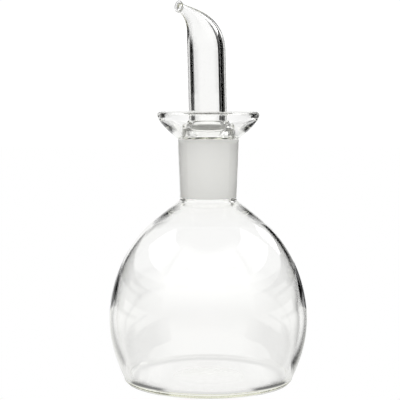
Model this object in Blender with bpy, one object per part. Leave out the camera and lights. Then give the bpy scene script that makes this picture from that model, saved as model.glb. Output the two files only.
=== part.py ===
"""An empty cruet of clear glass, for oil or vinegar.

Units are metres and +Z is up. The cruet stands on z = 0 with its axis on the Z axis, and the camera side is -Y.
It is two pieces of glass. The flask is blown in one with its ground neck and its flared drip collar. The stopper is
a hollow ground plug that sits in the neck, and its tube bends over and narrows to an open spout.
"""

import math

import bmesh
import bpy
from mathutils import Vector

MM = 0.001

# Flask body: two half ovals that meet at the widest place. A power of 2 would make each a true ellipse.
BELLY_RADIUS = 49.25 * MM
BELLY_HEIGHT = 31.1 * MM
SHOULDER_REACH = 59.35 * MM
SHOULDER_POWER = 1.93
FOOT_REACH = 57.95 * MM
FOOT_POWER = 1.844

# Wall of the body: thick below, thin in the shoulder, and thick again where the glass is gathered under the neck
BELLY_WALL = 3.1 * MM
SHOULDER_WALL = 1.55 * MM
NECK_BASE_WALL = 3.4 * MM
THINNING = (36.0 * MM, 60.0 * MM)
GATHERING = (78.0 * MM, 96.0 * MM)

# Foot of the flask: it stands on a flat ring round a shallow hollow, and the floor inside is a shallow dome
HEEL_HEIGHT = 2.9 * MM
HEEL_WIDTH = 3.3 * MM
STANDING_RING_WIDTH = 4.5 * MM
UNDERSIDE_RISE = 0.8 * MM
UNDERSIDE_SHARES = (0.0, 0.45, 0.75, 1.0)
UNDERSIDE_POWER = 1.5
FLOOR_RADIUS = 36.4 * MM
FLOOR_HEIGHT = 2.75 * MM
FLOOR_RISE = 0.35 * MM
FLOOR_SHARES = (0.55, 0.0)

# Shoulder and ground neck: the body runs on as a straight cone, then turns up into the neck
CONE_START = 81.0 * MM
CONE_END_HEIGHT = 90.0 * MM
CONE_END_RADIUS = 14.9 * MM
NECK_BOTTOM = 91.4 * MM
NECK_BOTTOM_RADIUS = 13.95 * MM
NECK_TOP = 120.9 * MM
NECK_TOP_RADIUS = 15.1 * MM

# Ground joint, where plug and neck meet at a taper of one in ten
JOINT_TOP = 121.4 * MM
JOINT_BOTTOM = 91.8 * MM
PLUG_TOP_RADIUS = 13.08 * MM
JOINT_TAPER = 0.05
JOINT_GAP = 0.32 * MM

# Drip collar, which ends in a round bead
COLLAR_RADIUS = 25.1 * MM
COLLAR_KNEE = 129.0 * MM
COLLAR_WALL = 1.9 * MM
RIM_HEIGHT = 132.7 * MM
RIM_BEAD = 1.75 * MM

# Stopper: plug, round shoulder and tube, all hollow
PLUG_BOTTOM = 92.6 * MM
PLUG_WALL = 1.8 * MM
PLUG_EDGE = 0.45 * MM
SHOULDER_TOP = 126.0 * MM
SHOULDER_ROUND = 1.6 * MM
SHOULDER_TURN = 75
SHOULDER_SLANT = 0.4 * MM
TUBE_RADIUS = 9.35 * MM
TUBE_FOOT = 130.2 * MM
TUBE_LEAN = 0.0245
LEAN_START = 125.0 * MM
BORE_RADIUS = 7.0 * MM
BORE_FOOT = 129.0 * MM
BORE_KNEE = 124.8 * MM
BORE_SHOULDER = 123.6 * MM
BORE_SHOULDER_RADIUS = 9.7 * MM
PLUG_BORE_TOP = 121.8 * MM

# Spout: the tube's centre line bends over in one upright plane, turned from -X towards the camera
SPOUT_TURN = math.radians(39)
BEND_START = 163.7 * MM
BEND_RISE = 12.2 * MM
SPOUT_REACH = 16.5 * MM
SPOUT_HEIGHT = 184.8 * MM
SPOUT_RUN = 8.9 * MM
SPOUT_SLOPE = math.radians(23)
TAPER_POWER = 2.2
TAPER_BEND = 2.4
TIP_RADIUS = 2.2 * MM
TIP_BORE = 1.5 * MM
TIP_LENGTH = 1.3 * MM

# The mouth is nearly upright, flared a little and melted to a round bead
MOUTH_SLOPE = math.radians(3.5)
MOUTH_TURN_START = 0.55
MOUTH_BORE = 2.0 * MM
MOUTH_RADIUS = 2.95 * MM

# Facets
FLASK_SIDES = 56
STOPPER_SIDES = 36
BODY_STEPS = 15
INNER_WALL_STEPS = 13
BEND_STEPS = 14

GLASS_COLOUR = (0.93, 0.96, 0.95, 1.0)
GLASS_ROUGHNESS = 0.02
GLASS_IOR = 1.47
SMOOTH_ANGLE = math.radians(35)


def arc(centre, radii, start, end, steps):
    """Points on an oval round centre, from the start angle to the end angle in degrees, both ends among them."""
    angles = [math.radians(start + (end - start) * k / steps) for k in range(steps + 1)]
    return [(centre[0] + radii[0] * math.cos(a), centre[1] + radii[1] * math.sin(a)) for a in angles]


def curve(start, handle, end, steps):
    """Points on a curve that leaves start and reaches end along the lines to handle, both ends among them."""
    points = []
    for k in range(steps + 1):
        t = k / steps
        weights = (1 - t) ** 2, 2 * t * (1 - t), t**2
        points.append(tuple(sum(w * p[axis] for w, p in zip(weights, (start, handle, end))) for axis in (0, 1)))
    return points


def smooth_step(value, start, end):
    """From 0 at start to 1 at end, with no corner at either."""
    share = min(max((value - start) / (end - start), 0.0), 1.0)
    return share * share * (3 - 2 * share)


def wall_at(height):
    """Thickness of the body's wall at a height."""
    thinned = (SHOULDER_WALL - BELLY_WALL) * smooth_step(height, *THINNING)
    return BELLY_WALL + thinned + (NECK_BASE_WALL - SHOULDER_WALL) * smooth_step(height, *GATHERING)


def moved_in(points, thickness):
    """The outline moved to its left by the thickness at each height, as an inner wall is from the outer one."""
    moved = []
    for k, (radius, height) in enumerate(points):
        before, after = points[max(k - 1, 0)], points[min(k + 1, len(points) - 1)]
        run, rise = after[0] - before[0], after[1] - before[1]
        length = math.hypot(run, rise)
        distance = thickness(height)
        moved.append((radius - distance * rise / length, height + distance * run / length))
    return moved


def body_radius(height):
    """Outer radius of the flask's body, between heel and cone."""
    reach, power = (SHOULDER_REACH, SHOULDER_POWER) if height > BELLY_HEIGHT else (FOOT_REACH, FOOT_POWER)
    return BELLY_RADIUS * math.sqrt(1 - (abs(height - BELLY_HEIGHT) / reach) ** power)


def body_outline(steps):
    """Points up the body's outside from heel to cone, closer together where it curves more."""
    first = -math.asin((BELLY_HEIGHT - HEEL_HEIGHT) / FOOT_REACH)
    last = math.asin((CONE_START - BELLY_HEIGHT) / SHOULDER_REACH)
    points = []
    for k in range(steps + 1):
        angle = first + (last - first) * k / steps
        reach = SHOULDER_REACH if angle > 0 else FOOT_REACH
        height = BELLY_HEIGHT + reach * math.sin(angle)
        points.append((body_radius(height), height))
    return points


def shoulder_outline(steps):
    """The cone's end and the small inward curve that turns it up into the neck."""
    slope = (CONE_END_HEIGHT - CONE_START) / (body_radius(CONE_START) - CONE_END_RADIUS)
    corner = CONE_END_HEIGHT + slope * (CONE_END_RADIUS - NECK_BOTTOM_RADIUS)
    cone_end = (CONE_END_RADIUS, CONE_END_HEIGHT)
    return curve(cone_end, (NECK_BOTTOM_RADIUS, corner), (NECK_BOTTOM_RADIUS, NECK_BOTTOM), steps)


def collar_outline(steps):
    return curve((NECK_TOP_RADIUS, NECK_TOP), (COLLAR_RADIUS, COLLAR_KNEE), (COLLAR_RADIUS, RIM_HEIGHT), steps)


def plug_radius(height):
    """Radius of the ground plug, which narrows downwards."""
    return PLUG_TOP_RADIUS - (JOINT_TOP - height) * JOINT_TAPER


def flask_outside():
    """From the middle of the underside up to the rim of the collar."""
    standing = body_radius(HEEL_HEIGHT) - HEEL_WIDTH
    hollow = standing - STANDING_RING_WIDTH
    underside = [(hollow * s, UNDERSIDE_RISE * (1 - s**2) ** UNDERSIDE_POWER) for s in UNDERSIDE_SHARES]
    heel = arc((standing, HEEL_HEIGHT), (HEEL_WIDTH, HEEL_HEIGHT), -90, 0, 3)
    return underside + heel + body_outline(BODY_STEPS)[1:] + shoulder_outline(3) + collar_outline(6)


def flask_inside():
    """From the rim of the collar down to the middle of the floor."""
    rim = arc((COLLAR_RADIUS - RIM_BEAD, RIM_HEIGHT), (RIM_BEAD, RIM_BEAD), 0, 180, 6)[1:]
    funnel = moved_in(collar_outline(6), lambda height: COLLAR_WALL)[1:5]
    joint = [(plug_radius(z) + JOINT_GAP, z) for z in (JOINT_TOP, JOINT_BOTTOM)]
    wall = moved_in(body_outline(INNER_WALL_STEPS)[1:] + shoulder_outline(3)[:-1], wall_at)
    (low_radius, low), (higher_radius, higher) = wall[:2]
    slant = (higher_radius - low_radius) / (higher - low)
    corner = (low_radius - slant * (low - FLOOR_HEIGHT), FLOOR_HEIGHT)
    heel = curve(wall[0], corner, (FLOOR_RADIUS, FLOOR_HEIGHT), 4)[1:]
    floor = [(FLOOR_RADIUS * s, FLOOR_HEIGHT + FLOOR_RISE * (1 - s**2)) for s in FLOOR_SHARES]
    return rim + funnel[::-1] + joint + wall[::-1] + heel + floor


def spout_path(steps):
    """Sections of the bent part, as reach, height, direction and share of the way to the tip."""
    handles = (
        (0.0, BEND_START),
        (0.0, BEND_START + BEND_RISE),
        (SPOUT_REACH - SPOUT_RUN * math.cos(SPOUT_SLOPE), SPOUT_HEIGHT - SPOUT_RUN * math.sin(SPOUT_SLOPE)),
        (SPOUT_REACH, SPOUT_HEIGHT),
    )
    sections = []
    for k in range(1, steps + 1):
        t = k / steps
        weights = (1 - t) ** 3, 3 * t * (1 - t) ** 2, 3 * t**2 * (1 - t), t**3
        slopes = -3 * (1 - t) ** 2, 3 * (1 - t) * (1 - 3 * t), 3 * t * (2 - 3 * t), 3 * t**2
        reach, height = (sum(w * p[axis] for w, p in zip(weights, handles)) for axis in (0, 1))
        run, rise = (sum(w * p[axis] for w, p in zip(slopes, handles)) for axis in (0, 1))
        turned = max(0.0, (t - MOUTH_TURN_START) / (1 - MOUTH_TURN_START)) ** 2
        direction = math.atan2(rise, run) * (1 - turned) + MOUTH_SLOPE * turned
        sections.append((reach, height, direction, t))
    return sections


def ring(reach, height, direction, radius, ahead=0.0):
    """One round section of the stopper, square to direction, with its centre moved ahead along it."""
    away = Vector((-math.cos(SPOUT_TURN), -math.sin(SPOUT_TURN), 0))
    side = Vector((math.sin(SPOUT_TURN), -math.cos(SPOUT_TURN), 0))
    up = Vector((0, 0, 1))
    forward = away * math.cos(direction) + up * math.sin(direction)
    across = up * math.cos(direction) - away * math.sin(direction)
    lean = Vector((-TUBE_LEAN * max(0.0, height - LEAN_START), 0, 0))
    centre = away * reach + up * height + lean + forward * ahead
    angles = [math.tau * k / STOPPER_SIDES for k in range(STOPPER_SIDES)]
    return [centre + radius * (math.cos(a) * side + math.sin(a) * across) for a in angles]


def upright_rings(outline):
    return [ring(0.0, height, math.pi / 2, radius) for radius, height in outline]


def spout_rings(path, full, tip):
    """Sections along the spout, narrowing from the full radius to the tip's."""
    return [ring(x, z, d, tip + (full - tip) * (1 - t**TAPER_POWER) ** TAPER_BEND) for x, z, d, t in path]


def stopper_outside():
    """Outline from the plug's lower edge up to where the tube bends."""
    shoulder_middle = (PLUG_TOP_RADIUS - SHOULDER_ROUND, SHOULDER_TOP - SHOULDER_ROUND)
    shoulder = arc(shoulder_middle, (SHOULDER_ROUND, SHOULDER_ROUND), 0, SHOULDER_TURN, 4)
    plug = [(plug_radius(PLUG_BOTTOM), PLUG_BOTTOM + PLUG_EDGE), (PLUG_TOP_RADIUS, JOINT_TOP)]
    tube_foot = curve(shoulder[-1], (TUBE_RADIUS, SHOULDER_TOP + SHOULDER_SLANT), (TUBE_RADIUS, TUBE_FOOT), 4)
    return plug + shoulder + tube_foot[1:] + [(TUBE_RADIUS, BEND_START)]


def stopper_inside():
    """Outline from the bend down the bore to the plug's lower edge."""
    bore_foot = (BORE_RADIUS, BORE_FOOT)
    flare = curve(bore_foot, (BORE_RADIUS, BORE_KNEE), (BORE_SHOULDER_RADIUS, BORE_SHOULDER), 3)
    plug_bore = plug_radius(PLUG_BOTTOM) - PLUG_WALL
    end_middle = plug_bore + PLUG_WALL / 2
    end = [(plug_bore, PLUG_BOTTOM + PLUG_EDGE)]
    end += [(end_middle + side * PLUG_EDGE, PLUG_BOTTOM) for side in (-1, 1)]
    return [(BORE_RADIUS, BEND_START)] + flare + [(PLUG_TOP_RADIUS - PLUG_WALL, PLUG_BORE_TOP)] + end


def mouth_rings(reach, height, direction):
    """The end of the spout, over its bead and back into the bore."""
    bead = (MOUTH_RADIUS - MOUTH_BORE) / 2
    outline = [(TIP_RADIUS, -TIP_LENGTH)]
    outline += arc((MOUTH_BORE + bead, 0.0), (bead, bead), -30, 210, 6)
    outline += [(TIP_BORE, -TIP_LENGTH)]
    return [ring(reach, height, direction, radius, ahead) for radius, ahead in outline]


def stopper_rings():
    """All sections of the stopper: up its outside, over the mouth and down the bore to the plug's end."""
    *path, tip = spout_path(BEND_STEPS)
    rings = upright_rings(stopper_outside())
    rings += spout_rings(path, TUBE_RADIUS, TIP_RADIUS)
    rings += mouth_rings(*tip[:3])
    rings += spout_rings(path[::-1], BORE_RADIUS, TIP_BORE)
    return rings + upright_rings(stopper_inside())


def bridge(solid, low, high):
    """Skin between two rings of equal count."""
    for k in range(len(low)):
        after = (k + 1) % len(low)
        solid.faces.new((low[k], low[after], high[after], high[k]))


def fan(solid, height, edge):
    """Skin between a ring and the axis at a height."""
    point = solid.verts.new((0, 0, height))
    for k in range(len(edge)):
        solid.faces.new((point, edge[k], edge[(k + 1) % len(edge)]))


def glass_material(name):
    material = bpy.data.materials.new(name)
    material.use_nodes = True
    shader = material.node_tree.nodes["Principled BSDF"]
    shader.inputs["Base Color"].default_value = GLASS_COLOUR
    shader.inputs["Roughness"].default_value = GLASS_ROUGHNESS
    shader.inputs["Metallic"].default_value = 0.0
    shader.inputs["IOR"].default_value = GLASS_IOR
    shader.inputs["Transmission Weight"].default_value = 1.0
    return material


def finished(name, solid):
    """Turns a bmesh into a smooth object in the scene, with its own material."""
    bmesh.ops.recalc_face_normals(solid, faces=solid.faces)
    mesh = bpy.data.meshes.new(name)
    solid.to_mesh(mesh)
    solid.free()
    mesh.shade_smooth()
    mesh.set_sharp_from_angle(angle=SMOOTH_ANGLE)
    mesh.materials.append(glass_material(name + "_glass"))
    bpy.context.scene.collection.objects.link(bpy.data.objects.new(name, mesh))


def make_flask():
    """One closed skin, turned round the axis from the underside, over the rim and down to the floor."""
    outline = flask_outside() + flask_inside()
    solid = bmesh.new()
    angles = [math.tau * k / FLASK_SIDES for k in range(FLASK_SIDES)]
    rings = [[solid.verts.new((r * math.cos(a), r * math.sin(a), z)) for a in angles] for r, z in outline[1:-1]]
    for low, high in zip(rings, rings[1:]):
        bridge(solid, low, high)
    fan(solid, outline[0][1], rings[0])
    fan(solid, outline[-1][1], rings[-1])
    finished("flask", solid)


def make_stopper():
    """One closed skin, open right through from the plug's end to the mouth."""
    solid = bmesh.new()
    rings = [[solid.verts.new(point) for point in section] for section in stopper_rings()]
    for low, high in zip(rings, rings[1:] + rings[:1]):
        bridge(solid, low, high)
    finished("stopper", solid)


for thing in list(bpy.data.objects):
    bpy.data.objects.remove(thing)
make_flask()
make_stopper()
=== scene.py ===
"""The looks of an empty glass cruet: a blown flask with a ground neck, and its hollow pouring stopper.

The CAD solids give the shape. Their outlines are drawn again here with fine steps, so that light bends
through them as it does through blown glass. Each piece gets its clear and its ground surfaces.
"""

import math

import bmesh
import bpy
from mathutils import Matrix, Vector, noise


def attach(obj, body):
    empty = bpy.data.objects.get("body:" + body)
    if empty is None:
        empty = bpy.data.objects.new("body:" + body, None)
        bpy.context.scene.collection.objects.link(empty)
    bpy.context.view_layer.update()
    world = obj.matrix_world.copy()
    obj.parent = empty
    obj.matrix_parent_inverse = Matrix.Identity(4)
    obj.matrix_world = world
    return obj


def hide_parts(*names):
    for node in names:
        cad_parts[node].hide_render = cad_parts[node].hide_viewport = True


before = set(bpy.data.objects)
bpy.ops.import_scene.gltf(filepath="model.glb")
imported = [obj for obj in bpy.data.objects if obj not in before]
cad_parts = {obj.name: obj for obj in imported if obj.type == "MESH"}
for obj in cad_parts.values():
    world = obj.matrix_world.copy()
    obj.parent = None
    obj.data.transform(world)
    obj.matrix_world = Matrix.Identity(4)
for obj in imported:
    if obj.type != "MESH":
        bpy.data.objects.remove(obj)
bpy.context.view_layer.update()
MM = 0.001

# Flask body: two half ovals that meet at the widest place
BELLY_RADIUS = 49.25 * MM
BELLY_HEIGHT = 31.1 * MM
SHOULDER_REACH = 59.35 * MM
SHOULDER_POWER = 1.93
FOOT_REACH = 57.95 * MM
FOOT_POWER = 1.844

# Wall of the body: thick below, thin in the shoulder, thick again where the glass is gathered under the neck
BELLY_WALL = 3.1 * MM
SHOULDER_WALL = 1.55 * MM
NECK_BASE_WALL = 3.4 * MM
THINNING = (36.0 * MM, 60.0 * MM)
GATHERING = (78.0 * MM, 96.0 * MM)

# Foot
HEEL_HEIGHT = 2.9 * MM
HEEL_WIDTH = 3.3 * MM
STANDING_RING_WIDTH = 4.5 * MM
UNDERSIDE_RISE = 0.8 * MM
UNDERSIDE_POWER = 1.5
FLOOR_RADIUS = 36.4 * MM
FLOOR_HEIGHT = 2.75 * MM
FLOOR_RISE = 0.35 * MM

# Shoulder and neck
CONE_START = 81.0 * MM
CONE_END_HEIGHT = 90.0 * MM
CONE_END_RADIUS = 14.9 * MM
NECK_BOTTOM = 91.4 * MM
NECK_BOTTOM_RADIUS = 13.95 * MM
NECK_TOP = 120.9 * MM
NECK_TOP_RADIUS = 15.1 * MM

# Ground joint
JOINT_TOP = 121.4 * MM
JOINT_BOTTOM = 91.8 * MM
PLUG_TOP_RADIUS = 13.08 * MM
JOINT_TAPER = 0.05
JOINT_GAP = 0.32 * MM

# Drip collar, whose wall thins upwards and ends in a round bead
COLLAR_RADIUS = 25.1 * MM
COLLAR_KNEE = 129.0 * MM
COLLAR_FOOT_WALL = 2.6 * MM
COLLAR_WALL = 1.9 * MM
COLLAR_THINNING = (122.0 * MM, 131.0 * MM)
RIM_HEIGHT = 132.7 * MM
RIM_BEAD = 1.6 * MM

# Stopper
PLUG_BOTTOM = 92.6 * MM
PLUG_WALL = 1.8 * MM
PLUG_EDGE = 0.45 * MM
SHOULDER_TOP = 126.4 * MM
SHOULDER_ROUND = 1.3 * MM
SHOULDER_TURN = 75
SHOULDER_SLANT = 0.4 * MM
TUBE_RADIUS = 9.35 * MM
TUBE_FOOT = 134.0 * MM
TUBE_LEAN = 0.0245
LEAN_START = 125.0 * MM
BORE_RADIUS = 7.0 * MM
BORE_FOOT = 133.0 * MM
BORE_KNEE = 124.6 * MM
BORE_SHOULDER = 121.95 * MM
BORE_SHOULDER_RADIUS = 11.25 * MM
PLUG_BORE_TOP = 121.8 * MM

# Spout
SPOUT_TURN = math.radians(39)
BEND_START = 163.7 * MM
BEND_RISE = 12.2 * MM
SPOUT_REACH = 16.5 * MM
SPOUT_HEIGHT = 184.8 * MM
SPOUT_RUN = 8.9 * MM
SPOUT_SLOPE = math.radians(23)
TAPER_POWER = 2.2
TAPER_BEND = 2.4
TIP_RADIUS = 2.2 * MM
TIP_BORE = 1.5 * MM
TIP_LENGTH = 1.3 * MM
MOUTH_SLOPE = math.radians(3.5)
MOUTH_TURN_START = 0.55
MOUTH_BORE = 2.0 * MM
MOUTH_RADIUS = 2.95 * MM
MOUTH_BEAD = (-30, 210)

# Unevenness of the blown glass, on the inside of the flask
WAVE_LENGTH = 16.0 * MM
WALL_WAVE = 0.03 * MM
FLOOR_WAVE = 0.12 * MM

# Steps of the fine meshes. The flask's inner wall leaves the neck's curve some steps before its end.
FLASK_SIDES = 240
STOPPER_SIDES = 144
BODY_STEPS = 90
BEND_STEPS = 70
CORNER_STEPS = 12
COLLAR_STEPS = 28
PLUG_SIDE_STEPS = 3
NECK_CURVE_LEFT_OUT = 4
SAME_HEIGHT = 0.0001 * MM

# Surfaces. A noise scale is for each metre, and a height is that of its bumps.
GLASS_IOR = 1.47
GLASS_TINT = (0.875, 0.88, 0.72, 1.0)
GLASS_TINT_DENSITY = 14.0
WAVE_SCALE = 70.0
WAVE_DETAIL = 1.0
WAVE_HEIGHT = 0.02 * MM
GROUND_ROUGHNESS = 0.7
GRAIN_SCALE = 1800.0
GRAIN_DETAIL = 3.0
GRAIN_HEIGHT = 0.02 * MM
GRAIN_DARK = (0.99, 0.988, 0.972, 1.0)
GRAIN_LIGHT = (1.0, 0.998, 0.985, 1.0)

# Picture: a gamma below 1 deepens the dark edges in the glass, and light may bend many times on its way
PICTURE_GAMMA = 0.9
GLASS_BOUNCES = 32
OTHER_BOUNCES = 16

# Camera, in metres
CAMERA_PLACE = (-0.0041, -0.600, 0.141)
CAMERA_DOWN = math.radians(4.8)
CAMERA_LENS = 109.3

# Studio, in metres. A turn is in degrees from +Y, clockwise as seen from above. A glow of 1 shows as white.
FLOOR_SIZE = 6.0
FLOOR_GLOW = 1.0
# The floor as the glass sees it: darker near the cruet, a painted shade round its foot, and lighter further
# off, changing over the distances in NEAR_FLOOR
SHADED_NEAR_FLOOR_GLOW = 0.91
FAR_FLOOR_TONE = 0.965
NEAR_FLOOR = (0.13, 0.20)
ROOM_GLOW = 0.935
SKY_GLOW = 1.05

# Upright cards round the cruet: first and last turn, distance, lowest and highest point, glow
CARD_COLUMNS = 24
CARDS = {
    "backdrop": (-24, 17, 2.8, 0.0, 2.4, 0.955),
    "left_flag": (-125, -25, 1.2, 0.12, 0.42, 0.0),
    "right_flag": (17, 125, 1.2, 0.12, 0.46, 0.0),
    "left_low_flag": (-66, -32, 1.2, 0.0, 0.12, 0.0),
    "left_low_half_flag": (-32, -24, 1.2, 0.0, 0.12, 0.35),
    "right_near_flag": (17, 24, 1.2, 0.0, 0.12, 0.1),
    "right_low_half_flag": (24, 32, 1.2, 0.0, 0.12, 0.45),
    "right_low_flag": (32, 66, 1.2, 0.0, 0.12, 0.0),
    "right_strip": (36, 50, 1.8, 0.5, 1.3, 3.0),
    "left_side_light": (-120, -60, 2.0, 1.3, 3.2, 2.6),
    "right_side_light": (60, 120, 2.0, 1.3, 3.2, 2.6),
    "high_left_flag": (-34, -18, 1.5, 0.56, 1.07, 0.2),
    "high_right_flag": (17, 30, 1.5, 0.50, 0.86, 0.35),
}

# Turns over which the flags beside the cruet fade out towards the camera's side
FLAG_FADE = (95, 125)

# Soft light before the cruet: turns over which it fades in, heights over which it fades in and out, its glow
# and distance, and its rows and columns of faces
FRONT_TURNS = (92, 130)
FRONT_RISE = (0.1, 1.0)
FRONT_FALL = (4.0, 7.0)
FRONT_GLOW = 1.85
FRONT_REACH = 2.8
FRONT_GRID = (24, 48)

# Shades on the floor: first and last turn, fade to each side, nearest and full distance, depth
FLOOR_SHADES = (
    (-90, -36, 4, 0.45, 0.80, 0.9),
    (-32, -26, 3, 0.45, 0.80, 0.5),
    (28, 90, 4, 0.50, 0.80, 0.9),
    (18, 24, 2, 0.50, 0.80, 0.75),
)

# Painted shade lines on the floor beside the cruet, running back from it: side, place beside the cruet, turn,
# width, spread and depth
PAINTED_SHADE_LINES = (
    (-1, 0.060, 24, 0.007, 0.05, 0.55),
    (1, 0.057, 20, 0.008, 0.06, 1.0),
)

# Shades of the foot on the floor: first and last turn and fade, reach and width, depth
FOOT_SHADES = (
    (-180, 180, 1, 0.045, 0.004, 0.10),
    (-180, 180, 1, 0.037, 0.002, 0.18),
    (-142, -114, 8, 0.0405, 0.005, 0.9),
    (114, 142, 8, 0.0405, 0.005, 0.95),
)

# Card over the floor that carries the shades: its reach, its height, and its rings and columns of faces
FLOOR_TONE_REACH = 2.0
FLOOR_TONE_LIFT = 0.5 * MM
FLOOR_TONE_GRID = (110, 360)


def arc(centre, radii, start, end, steps):
    """Points on an oval round centre, from start to end in degrees, both ends among them."""
    angles = [math.radians(start + (end - start) * k / steps) for k in range(steps + 1)]
    return [(centre[0] + radii[0] * math.cos(a), centre[1] + radii[1] * math.sin(a)) for a in angles]


def curve(start, handle, end, steps):
    """Points on a curve that leaves start and reaches end along the lines to handle, both ends among them."""
    points = []
    for k in range(steps + 1):
        t = k / steps
        weights = (1 - t) ** 2, 2 * t * (1 - t), t**2
        corners = list(zip(weights, (start, handle, end)))
        points.append(tuple(sum(w * p[axis] for w, p in corners) for axis in (0, 1)))
    return points


def straight(start, end, steps):
    """Points on a straight line, both ends among them."""
    return [tuple(a + (b - a) * k / steps for a, b in zip(start, end)) for k in range(steps + 1)]


def smooth_step(value, start, end):
    """From 0 at start to 1 at end, with no corner at either."""
    share = min(max((value - start) / (end - start), 0.0), 1.0)
    return share * share * (3 - 2 * share)


def wall_at(height):
    """Thickness of the body's wall at a height."""
    thinned = (SHOULDER_WALL - BELLY_WALL) * smooth_step(height, *THINNING)
    return BELLY_WALL + thinned + (NECK_BASE_WALL - SHOULDER_WALL) * smooth_step(height, *GATHERING)


def collar_wall_at(height):
    """Thickness of the collar's wall at a height."""
    return COLLAR_FOOT_WALL + (COLLAR_WALL - COLLAR_FOOT_WALL) * smooth_step(height, *COLLAR_THINNING)


def moved_in(points, thickness):
    """The outline moved to its left by the thickness at each height, as an inner wall from the outer one."""
    moved = []
    for k, (radius, height) in enumerate(points):
        before, after = points[max(k - 1, 0)], points[min(k + 1, len(points) - 1)]
        run, rise = after[0] - before[0], after[1] - before[1]
        length = math.hypot(run, rise)
        distance = thickness(height)
        moved.append((radius - distance * rise / length, height + distance * run / length))
    return moved


def body_radius(height):
    """Outer radius of the flask's body, between heel and cone."""
    reach, power = (SHOULDER_REACH, SHOULDER_POWER) if height > BELLY_HEIGHT else (FOOT_REACH, FOOT_POWER)
    return BELLY_RADIUS * math.sqrt(1 - (abs(height - BELLY_HEIGHT) / reach) ** power)


def body_outline(steps):
    """Points up the body's outside from heel to cone, closer together where it curves more."""
    first = -math.asin((BELLY_HEIGHT - HEEL_HEIGHT) / FOOT_REACH)
    last = math.asin((CONE_START - BELLY_HEIGHT) / SHOULDER_REACH)
    points = []
    for k in range(steps + 1):
        angle = first + (last - first) * k / steps
        reach = SHOULDER_REACH if angle > 0 else FOOT_REACH
        height = BELLY_HEIGHT + reach * math.sin(angle)
        points.append((body_radius(height), height))
    return points


def shoulder_outline(steps):
    """The cone's end and the small inward curve that turns it up into the neck."""
    slope = (CONE_END_HEIGHT - CONE_START) / (body_radius(CONE_START) - CONE_END_RADIUS)
    corner = CONE_END_HEIGHT + slope * (CONE_END_RADIUS - NECK_BOTTOM_RADIUS)
    cone_end = (CONE_END_RADIUS, CONE_END_HEIGHT)
    return curve(cone_end, (NECK_BOTTOM_RADIUS, corner), (NECK_BOTTOM_RADIUS, NECK_BOTTOM), steps)


def collar_outline(steps):
    """The collar's outside, from the neck to the rim."""
    rim = (COLLAR_RADIUS, RIM_HEIGHT)
    return curve((NECK_TOP_RADIUS, NECK_TOP), (COLLAR_RADIUS, COLLAR_KNEE), rim, steps)


def plug_radius(height):
    """Radius of the ground plug, which narrows downwards."""
    return PLUG_TOP_RADIUS - (JOINT_TOP - height) * JOINT_TAPER


def flask_outside():
    """From the middle of the underside up to the rim of the collar."""
    standing = body_radius(HEEL_HEIGHT) - HEEL_WIDTH
    hollow = standing - STANDING_RING_WIDTH
    shares = [k / CORNER_STEPS for k in range(CORNER_STEPS + 1)]
    underside = [(hollow * s, UNDERSIDE_RISE * (1 - s**2) ** UNDERSIDE_POWER) for s in shares]
    heel = arc((standing, HEEL_HEIGHT), (HEEL_WIDTH, HEEL_HEIGHT), -90, 0, CORNER_STEPS)
    body = body_outline(BODY_STEPS)[1:]
    shoulder = shoulder_outline(CORNER_STEPS)
    cone = straight(body[-1], shoulder[0], CORNER_STEPS)[1:-1]
    neck = straight(shoulder[-1], (NECK_TOP_RADIUS, NECK_TOP), CORNER_STEPS)[1:-1]
    return underside + heel + body + cone + shoulder + neck + collar_outline(COLLAR_STEPS)


def flask_inside():
    """From the rim of the collar down to the middle of the floor."""
    rim = arc((COLLAR_RADIUS - RIM_BEAD, RIM_HEIGHT), (RIM_BEAD, RIM_BEAD), 0, 180, 2 * CORNER_STEPS)[1:]
    funnel = moved_in(collar_outline(COLLAR_STEPS), collar_wall_at)
    funnel = [p for p in funnel if p[1] < RIM_HEIGHT - RIM_BEAD and p[0] > plug_radius(JOINT_TOP) + JOINT_GAP]
    joint = straight(*[(plug_radius(z) + JOINT_GAP, z) for z in (JOINT_TOP, JOINT_BOTTOM)], CORNER_STEPS)
    outer = body_outline(BODY_STEPS)
    shoulder = shoulder_outline(CORNER_STEPS)
    cone = straight(outer[-1], shoulder[0], CORNER_STEPS)[1:-1]
    wall = moved_in(outer + cone + shoulder[:-NECK_CURVE_LEFT_OUT], wall_at)
    wall = [p for p in wall if p[1] < JOINT_BOTTOM and p[1] > FLOOR_HEIGHT + HEEL_HEIGHT]
    (low_radius, low), (higher_radius, higher) = wall[:2]
    slant = (higher_radius - low_radius) / (higher - low)
    corner = (low_radius - slant * (low - FLOOR_HEIGHT), FLOOR_HEIGHT)
    heel = curve(wall[0], corner, (FLOOR_RADIUS, FLOOR_HEIGHT), CORNER_STEPS)[1:]
    shares = [1 - k / CORNER_STEPS for k in range(1, CORNER_STEPS + 1)]
    floor = [(FLOOR_RADIUS * s, FLOOR_HEIGHT + FLOOR_RISE * (1 - s**2)) for s in shares]
    return rim + funnel[::-1] + joint + wall[::-1] + heel + floor


def spout_path(steps):
    """Sections of the bent part, as reach, height, direction and share of the way to the tip."""
    handles = (
        (0.0, BEND_START),
        (0.0, BEND_START + BEND_RISE),
        (SPOUT_REACH - SPOUT_RUN * math.cos(SPOUT_SLOPE), SPOUT_HEIGHT - SPOUT_RUN * math.sin(SPOUT_SLOPE)),
        (SPOUT_REACH, SPOUT_HEIGHT),
    )
    sections = []
    for k in range(1, steps + 1):
        t = k / steps
        weights = (1 - t) ** 3, 3 * t * (1 - t) ** 2, 3 * t**2 * (1 - t), t**3
        slopes = -3 * (1 - t) ** 2, 3 * (1 - t) * (1 - 3 * t), 3 * t * (2 - 3 * t), 3 * t**2
        reach, height = (sum(w * p[axis] for w, p in zip(weights, handles)) for axis in (0, 1))
        run, rise = (sum(w * p[axis] for w, p in zip(slopes, handles)) for axis in (0, 1))
        turned = max(0.0, (t - MOUTH_TURN_START) / (1 - MOUTH_TURN_START)) ** 2
        direction = math.atan2(rise, run) * (1 - turned) + MOUTH_SLOPE * turned
        sections.append((reach, height, direction, t))
    return sections


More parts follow.
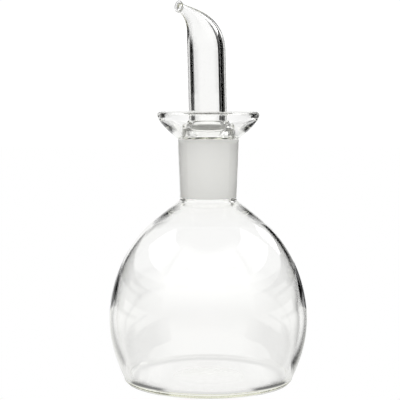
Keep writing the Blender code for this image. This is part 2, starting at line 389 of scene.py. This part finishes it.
def ring(reach, height, direction, radius, ahead=0.0):
    """One round section of the stopper, square to direction, with its centre moved ahead along it."""
    away = Vector((-math.cos(SPOUT_TURN), -math.sin(SPOUT_TURN), 0))
    side = Vector((math.sin(SPOUT_TURN), -math.cos(SPOUT_TURN), 0))
    up = Vector((0, 0, 1))
    forward = away * math.cos(direction) + up * math.sin(direction)
    across = up * math.cos(direction) - away * math.sin(direction)
    lean = Vector((-TUBE_LEAN * max(0.0, height - LEAN_START), 0, 0))
    centre = away * reach + up * height + lean + forward * ahead
    angles = [math.tau * k / STOPPER_SIDES for k in range(STOPPER_SIDES)]
    return [centre + radius * (math.cos(a) * side + math.sin(a) * across) for a in angles]


def upright_rings(outline):
    """Level sections round the tube's axis."""
    return [ring(0.0, height, math.pi / 2, radius) for radius, height in outline]


def spout_rings(path, full, tip):
    """Sections along the spout, narrowing from the full radius to the tip's."""
    return [ring(x, z, d, tip + (full - tip) * (1 - t**TAPER_POWER) ** TAPER_BEND) for x, z, d, t in path]


def stopper_outside():
    """Outline from the plug's lower edge up to where the tube bends."""
    shoulder_middle = (PLUG_TOP_RADIUS - SHOULDER_ROUND, SHOULDER_TOP - SHOULDER_ROUND)
    shoulder = arc(shoulder_middle, (SHOULDER_ROUND, SHOULDER_ROUND), 0, SHOULDER_TURN, CORNER_STEPS)
    plug_foot = (plug_radius(PLUG_BOTTOM), PLUG_BOTTOM + PLUG_EDGE)
    plug = straight(plug_foot, (PLUG_TOP_RADIUS, JOINT_TOP), CORNER_STEPS)
    side = straight(plug[-1], shoulder[0], PLUG_SIDE_STEPS)[1:-1]
    knee = (TUBE_RADIUS, SHOULDER_TOP + SHOULDER_SLANT)
    tube_foot = curve(shoulder[-1], knee, (TUBE_RADIUS, TUBE_FOOT), CORNER_STEPS)
    tube = straight(tube_foot[-1], (TUBE_RADIUS, BEND_START), CORNER_STEPS)
    return plug + side + shoulder + tube_foot[1:] + tube[1:]


def stopper_inside():
    """Outline from the bend down the bore to the plug's lower edge."""
    tube = straight((BORE_RADIUS, BEND_START), (BORE_RADIUS, BORE_FOOT), CORNER_STEPS)
    flare = curve(tube[-1], (BORE_RADIUS, BORE_KNEE), (BORE_SHOULDER_RADIUS, BORE_SHOULDER), CORNER_STEPS)[1:]
    plug_bore = plug_radius(PLUG_BOTTOM) - PLUG_WALL
    end_middle = plug_bore + PLUG_WALL / 2
    foot = (plug_bore, PLUG_BOTTOM + PLUG_EDGE)
    plug = straight((PLUG_TOP_RADIUS - PLUG_WALL, PLUG_BORE_TOP), foot, CORNER_STEPS)
    end = [(end_middle + side * PLUG_EDGE, PLUG_BOTTOM) for side in (-1, 1)]
    return tube + flare + plug + end


def mouth_rings(reach, height, direction):
    """The end of the spout, over its bead and back into the bore."""
    bead = (MOUTH_RADIUS - MOUTH_BORE) / 2
    outline = [(TIP_RADIUS, -TIP_LENGTH)]
    outline += arc((MOUTH_BORE + bead, 0.0), (bead, bead), *MOUTH_BEAD, CORNER_STEPS)
    outline += [(TIP_BORE, -TIP_LENGTH)]
    return [ring(reach, height, direction, radius, ahead) for radius, ahead in outline]


def wave_bump(nodes, links, shader, scale, detail, height):
    """Unevenness of the surface, from noise that lies in the object's own space."""
    place = nodes.new("ShaderNodeTexCoord")
    texture = nodes.new("ShaderNodeTexNoise")
    texture.inputs["Scale"].default_value = scale
    texture.inputs["Detail"].default_value = detail
    bump = nodes.new("ShaderNodeBump")
    bump.inputs["Distance"].default_value = height
    links.new(place.outputs["Object"], texture.inputs["Vector"])
    links.new(texture.outputs["Fac"], bump.inputs["Height"])
    links.new(bump.outputs["Normal"], shader.inputs["Normal"])
    return texture


def clear_glass(name):
    """Clear glass, faintly yellow-green in its thickness, with the soft unevenness of a blown wall."""
    material = bpy.data.materials.new(name)
    material.use_nodes = True
    nodes, links = material.node_tree.nodes, material.node_tree.links
    shader = nodes["Principled BSDF"]
    shader.inputs["Base Color"].default_value = (1.0, 1.0, 1.0, 1.0)
    shader.inputs["Roughness"].default_value = 0.0
    shader.inputs["IOR"].default_value = GLASS_IOR
    shader.inputs["Transmission Weight"].default_value = 1.0
    wave_bump(nodes, links, shader, WAVE_SCALE, WAVE_DETAIL, WAVE_HEIGHT)
    absorption = nodes.new("ShaderNodeVolumeAbsorption")
    absorption.inputs["Color"].default_value = GLASS_TINT
    absorption.inputs["Density"].default_value = GLASS_TINT_DENSITY
    links.new(absorption.outputs["Volume"], nodes["Material Output"].inputs["Volume"])
    return material


def ground_glass(name):
    """Glass ground matt, with a fine grain and a slight change of tone."""
    material = bpy.data.materials.new(name)
    material.use_nodes = True
    nodes, links = material.node_tree.nodes, material.node_tree.links
    shader = nodes["Principled BSDF"]
    shader.inputs["Roughness"].default_value = GROUND_ROUGHNESS
    shader.inputs["IOR"].default_value = GLASS_IOR
    shader.inputs["Transmission Weight"].default_value = 0.0
    grain = wave_bump(nodes, links, shader, GRAIN_SCALE, GRAIN_DETAIL, GRAIN_HEIGHT)
    tone = nodes.new("ShaderNodeValToRGB")
    tone.color_ramp.elements[0].color = GRAIN_DARK
    tone.color_ramp.elements[1].color = GRAIN_LIGHT
    links.new(grain.outputs["Fac"], tone.inputs["Fac"])
    links.new(tone.outputs["Color"], shader.inputs["Base Color"])
    return material


def closed_skin(name, rings, ends, ground_rows, materials):
    """A smooth object from rings of points. ends holds the two points that close it. A tube has none."""
    solid = bmesh.new()
    rows = [[solid.verts.new(p) for p in points] for points in rings]
    pairs = list(zip(rows, rows[1:]))
    if not ends:
        pairs.append((rows[-1], rows[0]))
    for number, (low, high) in enumerate(pairs):
        for k in range(len(low)):
            after = (k + 1) % len(low)
            face = solid.faces.new((low[k], low[after], high[after], high[k]))
            face.material_index = 1 if ground_rows(number) else 0
    for point, row in zip(ends, (rows[0], rows[-1])):
        middle = solid.verts.new(point)
        for k in range(len(row)):
            solid.faces.new((middle, row[k], row[(k + 1) % len(row)]))
    bmesh.ops.recalc_face_normals(solid, faces=solid.faces)
    mesh = bpy.data.meshes.new(name)
    solid.to_mesh(mesh)
    solid.free()
    mesh.shade_smooth()
    for material in materials:
        mesh.materials.append(material)
    return new_object(name, mesh)


def wave(point):
    """Soft unevenness at a place in the glass, from about -1 to 1."""
    return noise.noise(Vector(point) / WAVE_LENGTH)


def uneven_ring(radius, height, angles):
    """A ring of the flask's inside, moved a little sideways in the wall and up or down on the floor."""
    flat = 1 - smooth_step(height, FLOOR_HEIGHT, FLOOR_HEIGHT + HEEL_HEIGHT)
    points = []
    for a in angles:
        x, y = radius * math.cos(a), radius * math.sin(a)
        shift = wave((x, y, height))
        share = 1 + (1 - flat) * WALL_WAVE * shift / radius
        points.append((x * share, y * share, height + flat * FLOOR_WAVE * shift))
    return points


def make_flask(clear, ground):
    """The flask, turned round its axis, with the joint in its neck ground."""
    outline = flask_outside() + flask_inside()
    angles = [math.tau * k / FLASK_SIDES for k in range(FLASK_SIDES)]
    joint_end = max(k for k, p in enumerate(outline) if abs(p[1] - JOINT_BOTTOM) < SAME_HEIGHT)
    rings = [[(r * math.cos(a), r * math.sin(a), z) for a in angles] for r, z in outline[1 : joint_end + 1]]
    rings += [uneven_ring(r, z, angles) for r, z in outline[joint_end + 1 : -1]]
    ends = [(0, 0, outline[0][1]), (0, 0, outline[-1][1])]
    joint_start = next(k for k, p in enumerate(outline) if abs(p[1] - JOINT_TOP) < SAME_HEIGHT) - 1
    materials = (clear, ground)
    piece = closed_skin("flask_glass", rings, ends, lambda k: 0 <= k - joint_start < CORNER_STEPS, materials)
    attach(piece, "root")
    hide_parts("flask")
    return piece


def make_stopper(clear, ground):
    """The stopper, from the plug up its outside to the mouth and back down its bore, with the plug ground."""
    *path, tip = spout_path(BEND_STEPS)
    rings = upright_rings(stopper_outside())
    rings += spout_rings(path, TUBE_RADIUS, TIP_RADIUS)
    rings += mouth_rings(*tip[:3])
    rings += spout_rings(path[::-1], BORE_RADIUS, TIP_BORE)
    rings += upright_rings(stopper_inside())
    piece = closed_skin("stopper_glass", rings, [], lambda k: k < CORNER_STEPS, (clear, ground))
    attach(piece, "root")
    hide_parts("stopper")
    return piece


def new_object(name, data):
    """A new object, linked to the scene."""
    thing = bpy.data.objects.new(name, data)
    bpy.context.scene.collection.objects.link(thing)
    return thing


def glowing(name, strength):
    """A surface that gives plain light, as strong as the mesh's own values say where strength is None."""
    material = bpy.data.materials.new(name)
    material.use_nodes = True
    nodes, links = material.node_tree.nodes, material.node_tree.links
    nodes.remove(nodes["Principled BSDF"])
    glow = nodes.new("ShaderNodeEmission")
    links.new(glow.outputs["Emission"], nodes["Material Output"].inputs["Surface"])
    if strength is None:
        attribute = nodes.new("ShaderNodeAttribute")
        attribute.attribute_name = "glow"
        links.new(attribute.outputs["Fac"], glow.inputs["Strength"])
    else:
        glow.inputs["Strength"].default_value = strength
    return material


def grid_card(name, place, rows, columns, material, glow=None, seen=False):
    """A curved card of rows by columns faces. place and glow take two shares from 0 to 1."""
    shares = [(i / rows, k / columns) for i in range(rows + 1) for k in range(columns + 1)]
    faces = []
    for i in range(rows):
        for k in range(columns):
            first = i * (columns + 1) + k
            faces.append((first, first + 1, first + columns + 2, first + columns + 1))
    mesh = bpy.data.meshes.new(name)
    mesh.from_pydata([place(*s) for s in shares], [], faces)
    if glow:
        attribute = mesh.attributes.new("glow", "FLOAT", "POINT")
        attribute.data.foreach_set("value", [glow(*s) for s in shares])
    mesh.materials.append(material)
    thing = new_object(name, mesh)
    thing.visible_camera = seen
    return thing


def round_place(turn, reach, height):
    """A point round the cruet."""
    return reach * math.sin(math.radians(turn)), reach * math.cos(math.radians(turn)), height


def upright_card(name, first, last, reach, low, high, glow):
    """A card round the cruet. Beside the cruet it fades out towards the camera's side."""
    def turn(k):
        return first + (last - first) * k

    def place(i, k):
        return round_place(turn(k), reach, low + (high - low) * i)

    def card_glow(i, k):
        return glow + (ROOM_GLOW - glow) * smooth_step(abs(turn(k)), *FLAG_FADE)

    return grid_card(name, place, 1, CARD_COLUMNS, glowing(name + "_glow", None), card_glow)


def between(turn, first, last, fade):
    """1 from the first turn to the last, and down to 0 within the fade on each side."""
    return smooth_step(turn, first - fade, first) * (1 - smooth_step(turn, last, last + fade))


def floor_glow(turn, distance):
    """Brightness of the floor as the glass sees it, darker near the cruet in painted shade, with the painted
    shades of flags, painted shade lines and painted shadows of the foot on it.
    """
    # Painted shade near the cruet, fading out further off
    glow = SHADED_NEAR_FLOOR_GLOW + (FAR_FLOOR_TONE - SHADED_NEAR_FLOOR_GLOW) * smooth_step(distance, *NEAR_FLOOR)
    for first, last, fade, near, full, depth in FLOOR_SHADES:
        sideways = between(turn, first, last, fade)
        glow *= 1 - depth * sideways * smooth_step(distance, near, full)
    x, y, _ = round_place(turn, distance, 0)
    # Painted shade lines beside the cruet, widening as they run back over the floor
    for side, beside, shade_line_turn, width, spread, depth in PAINTED_SHADE_LINES:
        if y > 0:
            offset = (side * x - beside - y * math.tan(math.radians(shade_line_turn))) / (width + spread * y)
            glow *= 1 - depth * math.exp(-offset * offset)
    for first, last, fade, reach, width, depth in FOOT_SHADES:
        sideways = between(turn, first, last, fade)
        glow *= 1 - depth * sideways * math.exp(-(((distance - reach) / width) ** 2))
    return glow


def make_front_light():
    """A wide soft light on the camera's side, brightest in the middle, with no edge to be mirrored."""
    def turn_and_height(i, k):
        return FRONT_TURNS[0] + (360 - 2 * FRONT_TURNS[0]) * k, FRONT_FALL[1] * i

    def place(i, k):
        turn, height = turn_and_height(i, k)
        return round_place(turn, FRONT_REACH, height)

    def glow(i, k):
        turn, height = turn_and_height(i, k)
        sideways = smooth_step(180 - abs(turn - 180), *FRONT_TURNS)
        upwards = smooth_step(height, *FRONT_RISE) * (1 - smooth_step(height, *FRONT_FALL))
        return ROOM_GLOW + (FRONT_GLOW - ROOM_GLOW) * sideways * upwards

    grid_card("front_light", place, *FRONT_GRID, glowing("front_light_glow", None), glow)


def make_floor_tone():
    """A round card just over the floor that carries the painted shades and shadows. The camera looks through
    it, and light in the glass meets it.
    """
    def place(i, k):
        return round_place(360 * k - 180, FLOOR_TONE_REACH * i * i, FLOOR_TONE_LIFT)

    def glow(i, k):
        return floor_glow(360 * k - 180, FLOOR_TONE_REACH * i * i)

    grid_card("floor_tone", place, *FLOOR_TONE_GRID, glowing("floor_tone_glow", None), glow)


def make_studio():
    """White floor and room, the cards and the soft light. The camera sees a pure white background."""
    half = FLOOR_SIZE / 2
    white = glowing("floor_white", FLOOR_GLOW)
    grid_card("floor", lambda i, k: (half * (2 * k - 1), half * (2 * i - 1), 0), 1, 1, white, seen=True)
    for name, card in CARDS.items():
        upright_card(name, *card)
    make_front_light()
    make_floor_tone()
    world = bpy.data.worlds.new("studio")
    bpy.context.scene.world = world
    world.use_nodes = True
    nodes, links = world.node_tree.nodes, world.node_tree.links
    background = nodes["Background"]
    background.inputs["Color"].default_value = (1, 1, 1, 1)
    path = nodes.new("ShaderNodeLightPath")
    strength = nodes.new("ShaderNodeMapRange")
    strength.inputs["To Min"].default_value = ROOM_GLOW
    strength.inputs["To Max"].default_value = SKY_GLOW
    links.new(path.outputs["Is Camera Ray"], strength.inputs["Value"])
    links.new(strength.outputs["Result"], background.inputs["Strength"])


def make_camera():
    data = bpy.data.cameras.new("camera")
    data.lens = CAMERA_LENS
    camera = bpy.data.objects.new("camera", data)
    camera.location = CAMERA_PLACE
    camera.rotation_euler = (math.pi / 2 - CAMERA_DOWN, 0, 0)
    bpy.context.scene.collection.objects.link(camera)
    bpy.context.scene.camera = camera


def set_picture():
    scene = bpy.context.scene
    scene.view_settings.view_transform = "Standard"
    scene.view_settings.gamma = PICTURE_GAMMA
    scene.cycles.max_bounces = GLASS_BOUNCES
    scene.cycles.transmission_bounces = GLASS_BOUNCES
    scene.cycles.glossy_bounces = OTHER_BOUNCES
    scene.cycles.diffuse_bounces = OTHER_BOUNCES
    scene.cycles.transparent_max_bounces = OTHER_BOUNCES


clear, ground = clear_glass("clear_glass"), ground_glass("ground_glass")
make_flask(clear, ground)
make_stopper(clear, ground)
make_studio()
make_camera()
set_picture()
